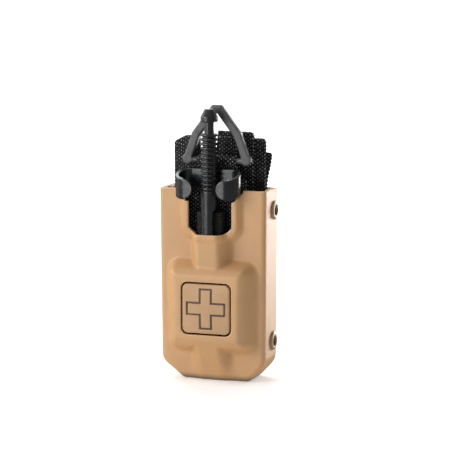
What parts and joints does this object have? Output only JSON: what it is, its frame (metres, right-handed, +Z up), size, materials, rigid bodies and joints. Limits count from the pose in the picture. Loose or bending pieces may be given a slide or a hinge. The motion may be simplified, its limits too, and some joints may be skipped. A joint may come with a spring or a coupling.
{
  "type": "windlass tourniquet in belt case",
  "caption": "Windlass tourniquet with folded webbing, ribbed rod, C clip and triangular ring, stowed in a rigid formed belt case that it draws out of upwards.",
  "frame": {"origin": "centre of the bounding box on the plane that the case stands on", "axes": "+Z up along the rod, towards the knob that stands out of the case; -Y is the front, with the notch and badge; +X is to the right seen from the front"},
  "size_m": [0.064, 0.0336, 0.1553],
  "materials": {
    "case_sheet": "tan thermoformed sheet, fine haircell grain",
    "badge": "tan moulded plastic, satin, dark engraved line",
    "eyelet": "tan painted metal, worn at the edge",
    "rod_plastic": "black glass-filled nylon, satin",
    "clip_plastic": "black moulded nylon, satin gloss",
    "ring_plastic": "black moulded nylon, fine texture",
    "band_webbing": "black coarse nylon webbing",
    "strap_webbing": "black woven nylon strap, fuzzy face",
    "hook_fastener": "black hook tape",
    "thread": "black bonded nylon thread"
  },
  "bodies": {
    "case": {"case_front_shell": "case_sheet", "case_back_plate": "case_sheet", "badge": "badge", "eyelet_left_lower": "eyelet", "eyelet_left_upper": "eyelet", "eyelet_right_lower": "eyelet", "eyelet_right_upper": "eyelet"},
    "tourniquet": {"outer_band": "band_webbing", "hook_patch": "hook_fastener", "ring_keeper": "band_webbing", "plate_stitching": "thread", "stabilization_plate": "clip_plastic", "windlass_clip": "clip_plastic", "inner_strap": "strap_webbing"},
    "windlass": {"windlass_rod": "rod_plastic"},
    "ring": {"triangle_ring": "ring_plastic"}
  },
  "joints": [
    {"name": "tourniquet_draw", "type": "slide", "parent": "case", "child": "tourniquet", "axis": [0, 0, 1], "range_m": [0, 0.1]},
    {"name": "windlass_swing", "type": "hinge", "parent": "tourniquet", "child": "windlass", "pos_m": [-0.0008, -0.0078, 0.087], "axis": [0, 1, 0], "range_deg": [-8, 8]},
    {"name": "ring_swing", "type": "hinge", "parent": "tourniquet", "child": "ring", "pos_m": [0.001, 0.0003, 0.1243], "axis": [1, 0, 0], "range_deg": [-6, 3]}
  ]
}
